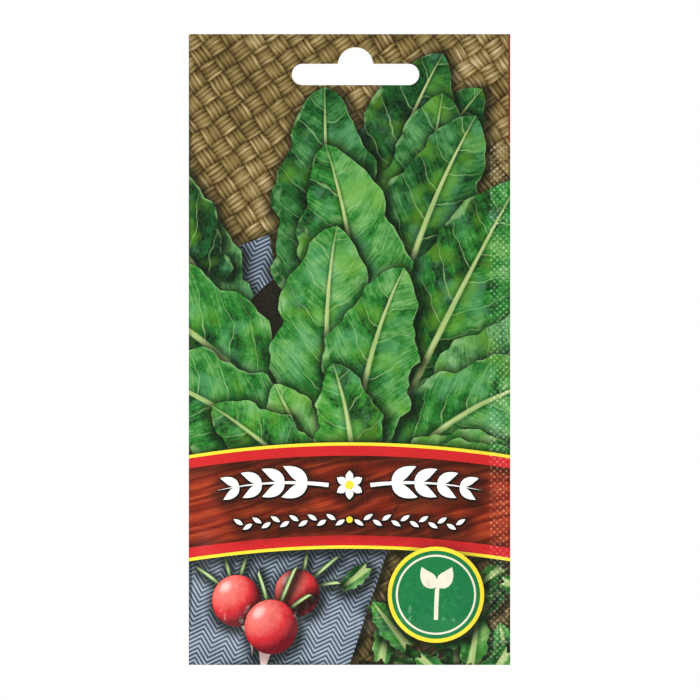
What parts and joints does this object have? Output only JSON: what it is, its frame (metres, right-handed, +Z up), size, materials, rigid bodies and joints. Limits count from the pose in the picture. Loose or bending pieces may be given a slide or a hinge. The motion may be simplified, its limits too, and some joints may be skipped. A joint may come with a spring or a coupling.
{
  "type": "seed packet",
  "caption": "Flat printed seed packet, folded on one side and heat-sealed on the others, with a punched hang slot in its header and loose seeds inside.",
  "frame": {"origin": "the hanging point: the top of the slot's round bump, halfway through the packet's thickness", "axes": "+Z up along the packet's length, +X across its front to the viewer's right, -Y out of the front"},
  "size_m": [0.08, 0.0026, 0.157],
  "materials": {
    "printed_laminate": "glossy film over printed paper",
    "dry_seed": "smooth dry seed coat"
  },
  "bodies": {
    "root": {"folded_printed_sheet": "printed_laminate", "loose_seeds": "dry_seed"}
  },
  "joints": []
}
